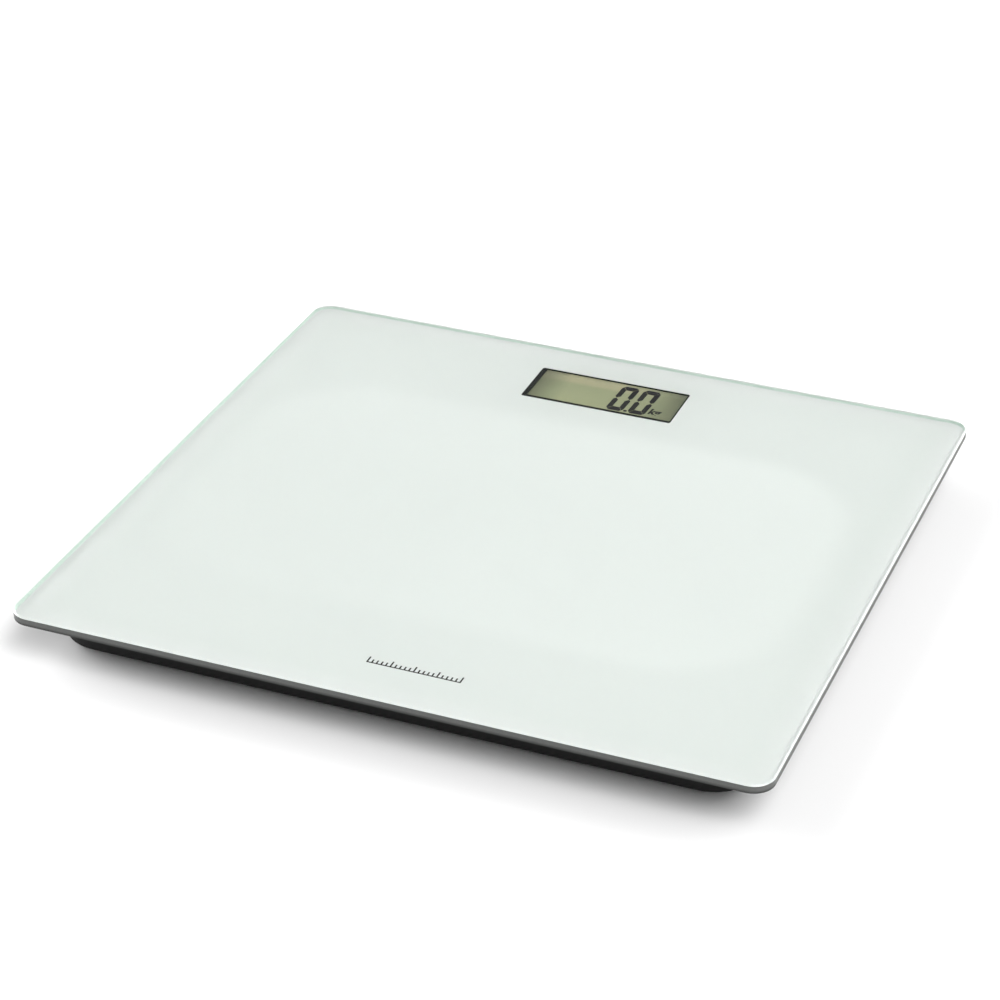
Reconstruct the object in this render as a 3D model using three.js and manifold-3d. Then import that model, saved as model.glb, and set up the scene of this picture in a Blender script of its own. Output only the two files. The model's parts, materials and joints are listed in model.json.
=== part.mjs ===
// Glass-topped digital person scale, in millimetres.
// The origin is on the floor under the middle of the platform. +X runs to the right and +Y to the
// display side, as its user sees it from the near edge, and +Z is up.
import * as THREE from "three";
import { mergeVertices } from "three/addons/utils/BufferGeometryUtils.js";
import Module from "manifold-3d";

const wasm = await Module();
wasm.setup();

// ---------------------------------------------------------------- driving dimensions

const PLATFORM = { width: 300, depth: 281, thickness: 4, corner: 8.5, chamfer: 0.8 };
const FILM_THICKNESS = 0.2;
const FILM_INSET = 1;
const TAPE_THICKNESS = 0.5;
const FOOT_HEIGHT = 3; // the underside of the tray stands this far off the floor
const TRAY = { inset: 11.5, height: 11.3, corner: 18, wall: 2, floor: 2, edgeRound: 0.5 };

const TRAY_WIDTH = PLATFORM.width - 2 * TRAY.inset;
const TRAY_DEPTH = PLATFORM.depth - 2 * TRAY.inset;
const TRAY_BOTTOM = FOOT_HEIGHT;
const TRAY_FLOOR_TOP = TRAY_BOTTOM + TRAY.floor;
const TRAY_TOP = TRAY_BOTTOM + TRAY.height;
const FILM_BOTTOM = TRAY_TOP + TAPE_THICKNESS;
const GLASS_BOTTOM = FILM_BOTTOM + FILM_THICKNESS;

// The window in the white film. It shows the display through the glass.
const WINDOW = { x: -1.3, y: 108.8, width: 67.3, depth: 27.1, corner: 1 };

// One foot and its pocket in the tray. The foot rises by FOOT_TRAVEL as the load cell bends.
const FOOT_CENTRES = {
  front_left: [-108, -98],
  front_right: [108, -98],
  back_left: [-108, 98],
  back_right: [108, 98],
};
const FOOT_TRAVEL = 0.4;
const FOOT_SEGMENTS = 24;
const POCKET = { radius: 23, wall: 2, roof: 1.8, lip: 1.2, lipHeight: 1 };
const CARRIER = { radius: 21.4, flange: 22.5, flangeHeight: 1.2, plate: 1.6, skirtBottom: 1, rimWall: 2 };
const CARRIER_GAP = 0.2; // between the carrier's flange and the pocket's lip
const CARRIER_EDGE = 0.4;
const CARRIER_POST = { radius: 3.2, root: 6, gap: 0.1, taper: 0.6, tip: 2 };
const PAD_TOP = 2.4;
const PAD_EDGE_ROUND = 0.6;
const PAD_GAP = 0.3;
const TOWER_PAD_INSET = 3;
const POCKET_ROOF_BOTTOM = TRAY_TOP - POCKET.roof;

// The stamped load cell: a square steel plate whose centre tongue is free on three sides.
const CELL = { side: 34, corner: 6, thickness: 1.2, tongueWidth: 14, tongueLength: 20, slot: 2.5 };
const CELL_LEDGE = 1.6;
const CELL_LEDGE_INSET = 1;
const GAUGE = { width: 11, depth: 6, corner: 2.9, height: 0.9, edge: 0.3 };
const CELL_TOP = POCKET_ROOF_BOTTOM - CELL_LEDGE;
const CELL_BOTTOM = CELL_TOP - CELL.thickness;
const PEG = { radius: 1.2, hole: 1.5, headRadius: 2.2, headHeight: 0.8, x: 13.2, y: -9 };

// Each cell's wires run as one bundle through a slot in the pocket's wall.
const LEAD = { radius: 0.85, startRise: 0.8, height: 10.6, rise: 0.6, clearance: 0.1 };
const LEAD_END = { row: 4, inset: 1.5 };
const LEAD_SLOT = { halfWidth: 2.5, inside: 4 };
const LEAD_START = 12; // from the tongue's edge
const LEAD_STRAIGHT = 3; // the straight stretch outside the pocket
const LEAD_LANE = { offset: 5, turn: 12, backY: 60 };

// The circuit board and what stands on it, under the window.
const BOARD = { x: -1.9, y: 105, width: 92, depth: 34, top: 10.1, thickness: 1.2, corner: 1.5 };
const BOARD_BOTTOM = BOARD.top - BOARD.thickness;
const SCREW = { x: 42.5, y: 12, shank: 0.9, hole: 1.3, pilot: 1.05, head: 2.1, headHeight: 1.2, length: 4 };
const SCREW_TIP = 0.8;
const PILOT_SPARE = 0.4;
const BOSS_RADIUS = 2.6;
const CHIP = { x: BOARD.x + 8, radius: 6, height: 1.6 };
const LCD = { width: 70, depth: 30, bottom: 11.8, top: 14.1 };
const BEZEL = { width: 74, depth: 33.4, lip: 0.4, clearance: 0.4, faceGap: 0.1, corner: 1.5 };
const BEZEL_OPENING = { width: 64.6, depth: 24.7, shiftX: 0.5, shiftY: 1.15, corner: 0.6 };
const ZEBRA = { end: 3, front: 0.4, width: 2 };

// The unit button, below its switch.
const BUTTON = { x: -31.9, y: 96, radius: 3.2, hole: 3.6, flange: 4.6, travel: 0.5 };
const BUTTON_FLANGE = { gap: 0.05, height: 0.7 };
const BUTTON_FACE = { inset: 0.2, edge: 0.4 };
const BUTTON_STEM = 1.5;
const SWITCH = { side: 6, height: 1.9, plungerRadius: 1.6, boreRadius: 1.9 };
const PLUNGER = { proud: 0.5, height: 1.2, gap: 0.05, spare: 0.1 };

// The battery bay, its door and the coin cell.
const BAY = { x: 0, y: 46, radius: 10.5, wall: 1.6, roofTop: 11, roof: 1.2 };
const COIN = { radius: 10, bottom: 5.3, height: 3.2, edge: 0.5, shoulder: 1, shoulderDrop: 0.7 };
const COIN_TOP = COIN.bottom + COIN.height;
const DOOR = { width: 30, depth: 34, thickness: 1.8, gap: 0.4, pinRadius: 0.55, pinLength: 1.4, pinGap: 0.3 };
const DOOR_FRAME = { side: 4, end: 2, height: 0.6 };
const SCOOP = { width: 14, depth: 4, corner: 1.9, fromEdge: 5, height: 0.8 };

// The two battery contacts are bent strips of this sheet, whose tails leave the bay at the back.
const CONTACT = { sheet: 0.3, width: 3, tail: 4, gap: 0.1 };
const CONTACT_SLOT = { x: 4.5, halfWidth: 2.4, front: 7, bottom: 7.6 };
const NEGATIVE = { left: -5.5, front: -6, tailLeft: -6, tailFront: 7, overlap: 1 };
const POSITIVE = { left: 3, front: 9.5, drop: 0.55, lip: 0.4 };
const BATTERY_LEAD = { radius: 0.7, gap: 0.05, solder: 2, bend: 6, approach: 5 };
const BATTERY_ROUTE = { spread: 1.2, fan: 2, rise: 0.8, dip: 0.15 };
const DOOR_AXIS_Y = BAY.y - DOOR.depth / 2 + DOOR.thickness / 2;
const DOOR_AXIS_Z = TRAY_BOTTOM + DOOR.thickness / 2;

const LABEL = { x: 0, y: -34, width: 70, depth: 42, recess: 0.3, thickness: 0.15, gap: 0.5, corner: 2.5 };

// Stiffening ribs on the tray's floor: rows from side to side, and columns from front to back.
const RIB = { thickness: 1.6, rowHeight: 3, columnHeight: 2.4 };
const RIB_ROWS = [-98, -60, 0];
const RIB_COLUMNS = [-70, 70];
const SHORT_COLUMNS = [-24, 24];
const SHORT_COLUMN_END = 24;

const OVERLAP = 0.5; // how far joined bodies run into each other
const OVERCUT = 1; // how far a cutting body reaches past the face that it cuts

// Round stretches are drawn with two sides for each of these counts, so a quarter turn has 16 or 6.
const SMOOTH = 8;
const PLAIN = 3;
const WIRE_SIDES = 8;
const STEPS_PER_LEG = 3;
const SMALL_SEGMENTS = 8;
const SCREW_SEGMENTS = 12;
const BUTTON_SEGMENTS = 20;
const BAY_SEGMENTS = 24;

// ---------------------------------------------------------------- materials

function finish(color, roughness, metalness = 0) {
  return () => new THREE.MeshStandardMaterial({ color, roughness, metalness });
}

const glass = finish(0xe3efe8, 0.05);
const whitePrint = finish(0xe8efe8, 0.5);
const blackPlastic = finish(0x1f1f1f, 0.55);
const blackBezel = finish(0x1a1c18, 0.6);
const lcdGlass = finish(0xa0a582, 0.3);
const foam = finish(0xdcdcd6, 0.95);
const steel = finish(0xa9abac, 0.35, 1);
const silicone = finish(0xe9e7df, 0.5);
const greyPlastic = finish(0x2c2d2e, 0.6);
const rubber = finish(0x3a3b3c, 0.9);
const redWire = finish(0xb32a22, 0.5);
const blackWire = finish(0x222222, 0.5);
const whiteWire = finish(0xd8d8d4, 0.5);
const boardGreen = finish(0x1f5a3a, 0.4);
const resin = finish(0x101012, 0.35);
const carbonRubber = finish(0x8a8f99, 0.8);
const springSteel = finish(0xc4c2bb, 0.3, 1);
const labelFoil = finish(0xc9cbcc, 0.4);

// ---------------------------------------------------------------- geometry helpers

// A closed three.js geometry as a solid for cutting and joining.
function solid(geometry) {
  const bare = geometry.clone();
  bare.deleteAttribute("normal");
  bare.deleteAttribute("uv");
  const merged = mergeVertices(bare, 1e-4);
  return new wasm.Manifold(
    new wasm.Mesh({
      numProp: 3,
      vertProperties: new Float32Array(merged.attributes.position.array),
      triVerts: new Uint32Array(merged.index.array),
    }),
  );
}

// A solid back as a three.js geometry.
function geometryOf(body) {
  const mesh = body.getMesh();
  const geometry = new THREE.BufferGeometry();
  geometry.setAttribute("position", new THREE.BufferAttribute(mesh.vertProperties, 3));
  geometry.setIndex(new THREE.BufferAttribute(mesh.triVerts, 1));
  geometry.computeVertexNormals();
  return geometry;
}

// A rectangle with round corners, centred on (x, y), as an outline or a hole.
function roundedRect(width, depth, radius, x = 0, y = 0, outline = new THREE.Shape()) {
  const right = x + width / 2;
  const left = x - width / 2;
  const back = y + depth / 2;
  const front = y - depth / 2;
  outline.moveTo(left + radius, front);
  outline.absarc(right - radius, front + radius, radius, -Math.PI / 2, 0, false);
  outline.absarc(right - radius, back - radius, radius, 0, Math.PI / 2, false);
  outline.absarc(left + radius, back - radius, radius, Math.PI / 2, Math.PI, false);
  outline.absarc(left + radius, front + radius, radius, Math.PI, 1.5 * Math.PI, false);
  outline.closePath();
  return outline;
}

// A flat plate of the given outline between two heights.
function slab(shape, bottom, top, curveSegments = PLAIN) {
  const geometry = new THREE.ExtrudeGeometry(shape, {
    depth: top - bottom,
    bevelEnabled: false,
    curveSegments,
  });
  return geometry.translate(0, 0, bottom);
}

// The same with all edges of both faces cut at 45 degrees by the chamfer.
function chamferedSlab(shape, bottom, top, chamfer, curveSegments = PLAIN) {
  const geometry = new THREE.ExtrudeGeometry(shape, {
    depth: top - bottom - 2 * chamfer,
    bevelEnabled: true,
    bevelThickness: chamfer,
    bevelSize: chamfer,
    bevelOffset: -chamfer,
    bevelSegments: 1,
    curveSegments,
  });
  return geometry.translate(0, 0, bottom + chamfer);
}

// A box between two corners.
function box(low, high) {
  const size = high.map((value, axis) => value - low[axis]);
  const geometry = new THREE.BoxGeometry(...size);
  return geometry.translate(...low.map((value, axis) => value + size[axis] / 2));
}

// A body turned about the vertical axis through (x, y), from [radius, height] pairs that go up the
// outside and start and end on the axis.
function turned(profile, segments, x = 0, y = 0) {
  const points = profile.map(([radius, height]) => new THREE.Vector2(radius, height));
  const geometry = new THREE.LatheGeometry(points, segments);
  return geometry.rotateX(Math.PI / 2).translate(x, y, 0);
}

// An upright round bar.
function post(radius, bottom, top, segments, x = 0, y = 0) {
  const profile = [
    [0, bottom],
    [radius, bottom],
    [radius, top],
    [0, top],
  ];
  return turned(profile, segments, x, y);
}

// A wire or bundle of wires through the given points.
function wire(points, radius) {
  const section = new THREE.Shape();
  section.absarc(0, 0, radius, 0, 2 * Math.PI, false);
  const route = new THREE.CatmullRomCurve3(
    points.map((point) => new THREE.Vector3(...point)),
    false,
    "centripetal",
  );
  return new THREE.ExtrudeGeometry(section, {
    steps: STEPS_PER_LEG * (points.length - 1),
    curveSegments: WIRE_SIDES / 2,
    extrudePath: route,
  });
}

const scale = new THREE.Group();

function addPiece(name, geometry, material, parent = scale) {
  const mesh = new THREE.Mesh(geometry, material());
  mesh.name = name;
  parent.add(mesh);
  return mesh;
}

// ---------------------------------------------------------------- platform

function addPlatform() {
  const sheet = roundedRect(PLATFORM.width, PLATFORM.depth, PLATFORM.corner);
  const glassTop = GLASS_BOTTOM + PLATFORM.thickness;
  addPiece("glass_platform", chamferedSlab(sheet, GLASS_BOTTOM, glassTop, PLATFORM.chamfer, SMOOTH), glass);

  const film = roundedRect(
    PLATFORM.width - 2 * FILM_INSET,
    PLATFORM.depth - 2 * FILM_INSET,
    PLATFORM.corner - FILM_INSET,
  );
  film.holes.push(
    roundedRect(WINDOW.width, WINDOW.depth, WINDOW.corner, WINDOW.x, WINDOW.y, new THREE.Path()),
  );
  addPiece("backing_film", slab(film, FILM_BOTTOM, GLASS_BOTTOM, SMOOTH / 2), whitePrint);
}

// Foam tape on the rim of the tray: two long strips, and two side strips between them.
function addTapes() {
  const tapeWidth = TRAY.wall;
  const side = TRAY_WIDTH / 2;
  const end = TRAY_DEPTH / 2;
  const straightX = side - TRAY.corner;
  const straightY = end - TRAY.corner;
  const strips = {
    bond_tape_front: [-straightX, -end, straightX, -end + tapeWidth],
    bond_tape_back: [-straightX, end - tapeWidth, straightX, end],
    bond_tape_left: [-side, -straightY, -side + tapeWidth, straightY],
    bond_tape_right: [side - tapeWidth, -straightY, side, straightY],
  };
  for (const [name, [left, front, right, back]] of Object.entries(strips)) {
    addPiece(name, box([left, front, TRAY_TOP], [right, back, FILM_BOTTOM]), foam);
  }
}

// ---------------------------------------------------------------- tray

// The shell without its inside: straight walls and a small round along the bottom edge.
function trayShell() {
  const outline = roundedRect(TRAY_WIDTH, TRAY_DEPTH, TRAY.corner);
  const roundSteps = 3;
  const lower = new THREE.ExtrudeGeometry(outline, {
    depth: TRAY.height - 3 * TRAY.edgeRound,
    bevelEnabled: true,
    bevelThickness: TRAY.edgeRound,
    bevelSize: TRAY.edgeRound,
    bevelOffset: -TRAY.edgeRound,
    bevelSegments: roundSteps,
    curveSegments: SMOOTH,
  });
  lower.translate(0, 0, TRAY_BOTTOM + TRAY.edgeRound);
  const upper = slab(outline, TRAY_BOTTOM + TRAY.height / 2, TRAY_TOP, SMOOTH);
  const inside = roundedRect(
    TRAY_WIDTH - 2 * TRAY.wall,
    TRAY_DEPTH - 2 * TRAY.wall,
    TRAY.corner - TRAY.wall,
  );
  const hollow = slab(inside, TRAY_FLOOR_TOP, TRAY_TOP + OVERCUT);
  return solid(lower).add(solid(upper)).subtract(solid(hollow));
}

// The outer body of a foot pocket: a round tower from the floor to the rim's height.
function pocketTower(x, y) {
  return solid(post(POCKET.radius + POCKET.wall, TRAY_BOTTOM, TRAY_TOP, FOOT_SEGMENTS, x, y));
}

// What is cut out of the tower: the room for the foot, with a lip left at the mouth.
function pocketRoom(x, y) {
  const lipTop = TRAY_BOTTOM + POCKET.lipHeight;
  const profile = [
    [0, TRAY_BOTTOM - OVERCUT],
    [POCKET.radius - POCKET.lip, TRAY_BOTTOM - OVERCUT],
    [POCKET.radius - POCKET.lip, lipTop],
    [POCKET.radius, lipTop],
    [POCKET.radius, POCKET_ROOF_BOTTOM],
    [0, POCKET_ROOF_BOTTOM],
  ];
  return solid(turned(profile, FOOT_SEGMENTS, x, y));
}

// Each pocket's cell is mirrored so that its lead leaves towards the middle of the scale.
function cellSide(x) {
  return -Math.sign(x);
}

// The slot in the tower wall that the cell's lead passes through.
function leadSlot(x, y) {
  const start = POCKET.radius - LEAD_SLOT.inside;
  const end = POCKET.radius + POCKET.wall + OVERCUT;
  const edges = [x + cellSide(x) * start, x + cellSide(x) * end].sort((a, b) => a - b);
  return solid(
    box(
      [edges[0], y - LEAD_SLOT.halfWidth, CELL_BOTTOM - OVERCUT],
      [edges[1], y + LEAD_SLOT.halfWidth, POCKET_ROOF_BOTTOM],
    ),
  );
}

// Two ledges under the roof that the cell's frame bears on, and the pegs that hold it there.
function cellSeat(x, y) {
  const inner = CELL.tongueWidth / 2 + CELL.slot;
  const outer = CELL.side / 2 - CELL_LEDGE_INSET;
  const halfLength = CELL.side / 2 - CELL.corner;
  let seat = null;
  for (const side of [-1, 1]) {
    const edges = [x + side * inner, x + side * outer].sort((a, b) => a - b);
    const ledge = solid(
      box(
        [edges[0], y - halfLength, CELL_TOP],
        [edges[1], y + halfLength, POCKET_ROOF_BOTTOM + OVERLAP],
      ),
    );
    const place = [x + side * PEG.x, y + PEG.y];
    const stem = post(PEG.radius, CELL_BOTTOM - OVERLAP, CELL_TOP + OVERLAP, SMALL_SEGMENTS, ...place);
    const head = post(PEG.headRadius, CELL_BOTTOM - PEG.headHeight, CELL_BOTTOM, SMALL_SEGMENTS, ...place);
    const part = ledge.add(solid(stem)).add(solid(head));
    seat = seat ? seat.add(part) : part;
  }
  return seat;
}

// The ribs keep clear of the board and the battery bay.
function trayRibs() {
  const half = RIB.thickness / 2;
  const reachX = TRAY_WIDTH / 2 - TRAY.wall + OVERLAP;
  const reachY = TRAY_DEPTH / 2 - TRAY.wall + OVERLAP;
  const bottom = TRAY_FLOOR_TOP - OVERLAP;
  const rowTop = TRAY_FLOOR_TOP + RIB.rowHeight;
  const columnTop = TRAY_FLOOR_TOP + RIB.columnHeight;
  const row = (y) => box([-reachX, y - half, bottom], [reachX, y + half, rowTop]);
  const column = (x, end) => box([x - half, -reachY, bottom], [x + half, end, columnTop]);
  const ribs = [
    ...RIB_ROWS.map((y) => row(y)),
    ...RIB_COLUMNS.map((x) => column(x, reachY)),
    ...SHORT_COLUMNS.map((x) => column(x, SHORT_COLUMN_END)),
  ];
  return ribs.map(solid).reduce((a, b) => a.add(b));
}

function boardCorners() {
  return [-1, 1].flatMap((sx) => [-1, 1].map((sy) => [BOARD.x + sx * SCREW.x, BOARD.y + sy * SCREW.y]));
}

// The bay's wall and roof round the coin cell, and the frame round the door opening.
function bayBody() {
  const outer = post(BAY.radius + BAY.wall, TRAY_BOTTOM, BAY.roofTop, BAY_SEGMENTS, BAY.x, BAY.y);
  const halfWidth = DOOR.width / 2 + DOOR_FRAME.side;
  const halfDepth = DOOR.depth / 2 + DOOR_FRAME.end;
  const frameTop = TRAY_FLOOR_TOP + DOOR_FRAME.height;
  const frame = box(
    [BAY.x - halfWidth, BAY.y - halfDepth, TRAY_BOTTOM],
    [BAY.x + halfWidth, BAY.y + halfDepth, frameTop],
  );
  return solid(outer).add(solid(frame));
}

// The coin cell's room, the contact slots and the door's opening with its two pin sockets.
function bayRoom() {
  const roofBottom = BAY.roofTop - BAY.roof;
  const room = post(BAY.radius, TRAY_BOTTOM - OVERCUT, roofBottom, BAY_SEGMENTS, BAY.x, BAY.y);
  const halfWidth = DOOR.width / 2 + DOOR.gap;
  const halfDepth = DOOR.depth / 2 + DOOR.gap;
  const doorTop = TRAY_BOTTOM + DOOR.thickness + DOOR.pinGap;
  const opening = solid(
    box(
      [BAY.x - halfWidth, BAY.y - halfDepth, TRAY_BOTTOM - OVERCUT],
      [BAY.x + halfWidth, BAY.y + halfDepth, doorTop],
    ),
  );
  const socketReach = DOOR.width / 2 + DOOR.pinLength + DOOR.pinGap;
  const sockets = new THREE.CylinderGeometry(
    DOOR.pinRadius + DOOR.pinGap,
    DOOR.pinRadius + DOOR.pinGap,
    2 * socketReach,
    SCREW_SEGMENTS,
  );
  sockets.rotateZ(Math.PI / 2).translate(BAY.x, DOOR_AXIS_Y, DOOR_AXIS_Z);
  // The contacts leave the bay through two slots in its back wall.
  const slotEnd = BAY.y + BAY.radius + BAY.wall + OVERCUT;
  const contactSlots = [-1, 1].map((side) => {
    const x = BAY.x + side * CONTACT_SLOT.x;
    const low = [x - CONTACT_SLOT.halfWidth, BAY.y + CONTACT_SLOT.front, CONTACT_SLOT.bottom];
    return solid(box(low, [x + CONTACT_SLOT.halfWidth, slotEnd, roofBottom]));
  });
  return [opening, solid(sockets), ...contactSlots].reduce((a, b) => a.add(b), solid(room));
}

function addTray() {
  const centres = Object.values(FOOT_CENTRES);
  let tray = trayShell().add(trayRibs());
  for (const [x, y] of centres) tray = tray.add(pocketTower(x, y));
  tray = tray.add(bayBody());
  for (const [x, y] of boardCorners()) {
    const boss = post(BOSS_RADIUS, TRAY_FLOOR_TOP - OVERLAP, BOARD_BOTTOM, SCREW_SEGMENTS, x, y);
    tray = tray.add(solid(boss));
  }
  for (const [x, y] of centres) {
    tray = tray.subtract(pocketRoom(x, y)).subtract(leadSlot(x, y)).add(cellSeat(x, y));
  }
  tray = tray.subtract(bayRoom());
  for (const [x, y] of boardCorners()) {
    const pilotBottom = BOARD.top - SCREW.length - PILOT_SPARE;
    tray = tray.subtract(solid(post(SCREW.pilot, pilotBottom, BOARD.top, SCREW_SEGMENTS, x, y)));
  }
  const holeEnds = [TRAY_BOTTOM - OVERCUT, TRAY_FLOOR_TOP + OVERCUT];
  tray = tray.subtract(solid(post(BUTTON.hole, ...holeEnds, BUTTON_SEGMENTS, BUTTON.x, BUTTON.y)));
  const labelRecess = roundedRect(
    LABEL.width + 2 * LABEL.gap,
    LABEL.depth + 2 * LABEL.gap,
    LABEL.corner + LABEL.gap,
    LABEL.x,
    LABEL.y,
  );
  tray = tray.subtract(solid(slab(labelRecess, TRAY_BOTTOM - OVERCUT, TRAY_BOTTOM + LABEL.recess)));
  addPiece("base_tray", geometryOf(tray), blackPlastic);
}

function addLabel() {
  const outline = roundedRect(LABEL.width, LABEL.depth, LABEL.corner, LABEL.x, LABEL.y);
  const top = TRAY_BOTTOM + LABEL.recess;
  addPiece("rating_label", slab(outline, top - LABEL.thickness, top), labelFoil);
}

// ---------------------------------------------------------------- feet and load cells

// The cell seen from above: a square with a U-shaped slot round its centre tongue.
function cellOutline() {
  const outline = roundedRect(CELL.side, CELL.side, CELL.corner);
  const inner = CELL.tongueWidth / 2;
  const outer = inner + CELL.slot;
  const root = CELL.tongueLength / 2;
  const tip = -CELL.tongueLength / 2;
  const slot = new THREE.Path();
  slot.moveTo(-outer, root);
  slot.lineTo(-outer, tip - CELL.slot);
  slot.lineTo(outer, tip - CELL.slot);
  slot.lineTo(outer, root);
  slot.lineTo(inner, root);
  slot.lineTo(inner, tip);
  slot.lineTo(-inner, tip);
  slot.lineTo(-inner, root);
  slot.closePath();
  outline.holes.push(slot);
  for (const side of [-1, 1]) {
    const hole = new THREE.Path();
    hole.absarc(side * PEG.x, PEG.y, PEG.hole, 0, 2 * Math.PI, false);
    outline.holes.push(hole);
  }
  return outline;
}

function carrierProfile() {
  const flangeBottom = TRAY_BOTTOM + POCKET.lipHeight + CARRIER_GAP;
  const flangeTop = flangeBottom + CARRIER.flangeHeight;
  const plateTop = PAD_TOP + CARRIER.plate;
  const postTop = CELL_BOTTOM - FOOT_TRAVEL - CARRIER_POST.gap;
  return [
    [0, PAD_TOP],
    [CARRIER.radius - CARRIER.rimWall, PAD_TOP],
    [CARRIER.radius - CARRIER.rimWall, CARRIER.skirtBottom],
    [CARRIER.radius - CARRIER_EDGE, CARRIER.skirtBottom],
    [CARRIER.radius, CARRIER.skirtBottom + CARRIER_EDGE],
    [CARRIER.radius, flangeBottom],
    [CARRIER.flange, flangeBottom],
    [CARRIER.flange, flangeTop],
    [CARRIER.radius - CARRIER.rimWall, flangeTop],
    [CARRIER.radius - CARRIER.rimWall, plateTop],
    [CARRIER_POST.root, plateTop],
    [CARRIER_POST.radius, postTop - CARRIER_POST.taper],
    [CARRIER_POST.tip, postTop],
    [0, postTop],
  ];
}

function padProfile() {
  const radius = CARRIER.radius - CARRIER.rimWall - PAD_GAP;
  return [
    [0, 0],
    [radius - PAD_EDGE_ROUND, 0],
    [radius, PAD_EDGE_ROUND],
    [radius, PAD_TOP],
    [0, PAD_TOP],
  ];
}

// The lead rises from the gauge, leaves the pocket through its slot and runs to the board's end.
function leadRoute(x, y) {
  const toMiddle = cellSide(x);
  const isBack = y > 0;
  const boardEnd = BOARD.x - toMiddle * (BOARD.width / 2 - LEAD_END.inset);
  const rowY = BOARD.y + (isBack ? LEAD_END.row : -LEAD_END.row);
  const outside = x + toMiddle * (POCKET.radius + POCKET.wall + LEAD_STRAIGHT);
  const lane = outside + toMiddle * LEAD_LANE.offset;
  const start = [x + toMiddle * (CELL.tongueWidth / 2 + LEAD_START), y, CELL_TOP + LEAD.startRise];
  const wall = [x + toMiddle * (POCKET.radius + POCKET.wall / 2), y, LEAD.height];
  const approach = [boardEnd - toMiddle * LEAD_LANE.turn, rowY, LEAD.height + LEAD.rise];
  const landing = [boardEnd, rowY, BOARD.top + LEAD.radius + LEAD.clearance];
  const alongLane = [
    [lane, y + LEAD_LANE.turn, LEAD.height],
    [lane, LEAD_LANE.backY, LEAD.height],
  ];
  return [start, wall, [outside, y, LEAD.height], ...(isBack ? [] : alongLane), approach, landing];
}

function addFeet() {
  for (const [corner, [x, y]] of Object.entries(FOOT_CENTRES)) {
    const station = new THREE.Group();
    station.position.set(x, y, 0);
    scale.add(station);
    addPiece(`load_cell_${corner}`, slab(cellOutline(), CELL_BOTTOM, CELL_TOP), steel, station);
    const gaugeY = CELL.tongueLength / 2 - GAUGE.depth / 2;
    const gauge = roundedRect(GAUGE.width, GAUGE.depth, GAUGE.corner, 0, gaugeY);
    const coat = chamferedSlab(gauge, CELL_TOP, CELL_TOP + GAUGE.height, GAUGE.edge);
    addPiece(`gauge_coat_${corner}`, coat, silicone, station);
    addPiece(`foot_carrier_${corner}`, turned(carrierProfile(), FOOT_SEGMENTS), greyPlastic, station);
    addPiece(`foot_pad_${corner}`, turned(padProfile(), FOOT_SEGMENTS), rubber, station);
    const pad = post(POCKET.radius - TOWER_PAD_INSET, TRAY_TOP, FILM_BOTTOM, FOOT_SEGMENTS);
    addPiece(`tower_pad_${corner}`, pad, foam, station);
    addPiece(`cell_lead_${corner}`, wire(leadRoute(x, y), LEAD.radius), y > 0 ? redWire : whiteWire);
  }
}

// ---------------------------------------------------------------- display and board

function addBoard() {
  const outline = roundedRect(BOARD.width, BOARD.depth, BOARD.corner, BOARD.x, BOARD.y);
  for (const [x, y] of boardCorners()) {
    const hole = new THREE.Path();
    hole.absarc(x, y, SCREW.hole, 0, 2 * Math.PI, false);
    outline.holes.push(hole);
  }
  addPiece("main_board", slab(outline, BOARD_BOTTOM, BOARD.top), boardGreen);

  // The resin blob under the board: a low dome.
  const dome = [0, 0.35, 0.7, 0.9, 1].map((share) => {
    const drop = CHIP.height * Math.sqrt(1 - share * share);
    return [CHIP.radius * share, BOARD_BOTTOM - drop];
  });
  dome.push([0, BOARD_BOTTOM]);
  addPiece("chip_coat", turned(dome, 2 * SMALL_SEGMENTS, CHIP.x, BOARD.y), resin);

  boardCorners().forEach(([x, y], index) => {
    const profile = [
      [0, BOARD.top - SCREW.length],
      [SCREW.shank * 0.5, BOARD.top - SCREW.length],
      [SCREW.shank, BOARD.top - SCREW.length + SCREW_TIP],
      [SCREW.shank, BOARD.top],
      [SCREW.head, BOARD.top],
      [SCREW.head, BOARD.top + SCREW.headHeight * 0.6],
      [SCREW.head * 0.6, BOARD.top + SCREW.headHeight],
      [0, BOARD.top + SCREW.headHeight],
    ];
    addPiece(`board_screw_${index + 1}`, turned(profile, SCREW_SEGMENTS, x, y), steel);
  });
}

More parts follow.
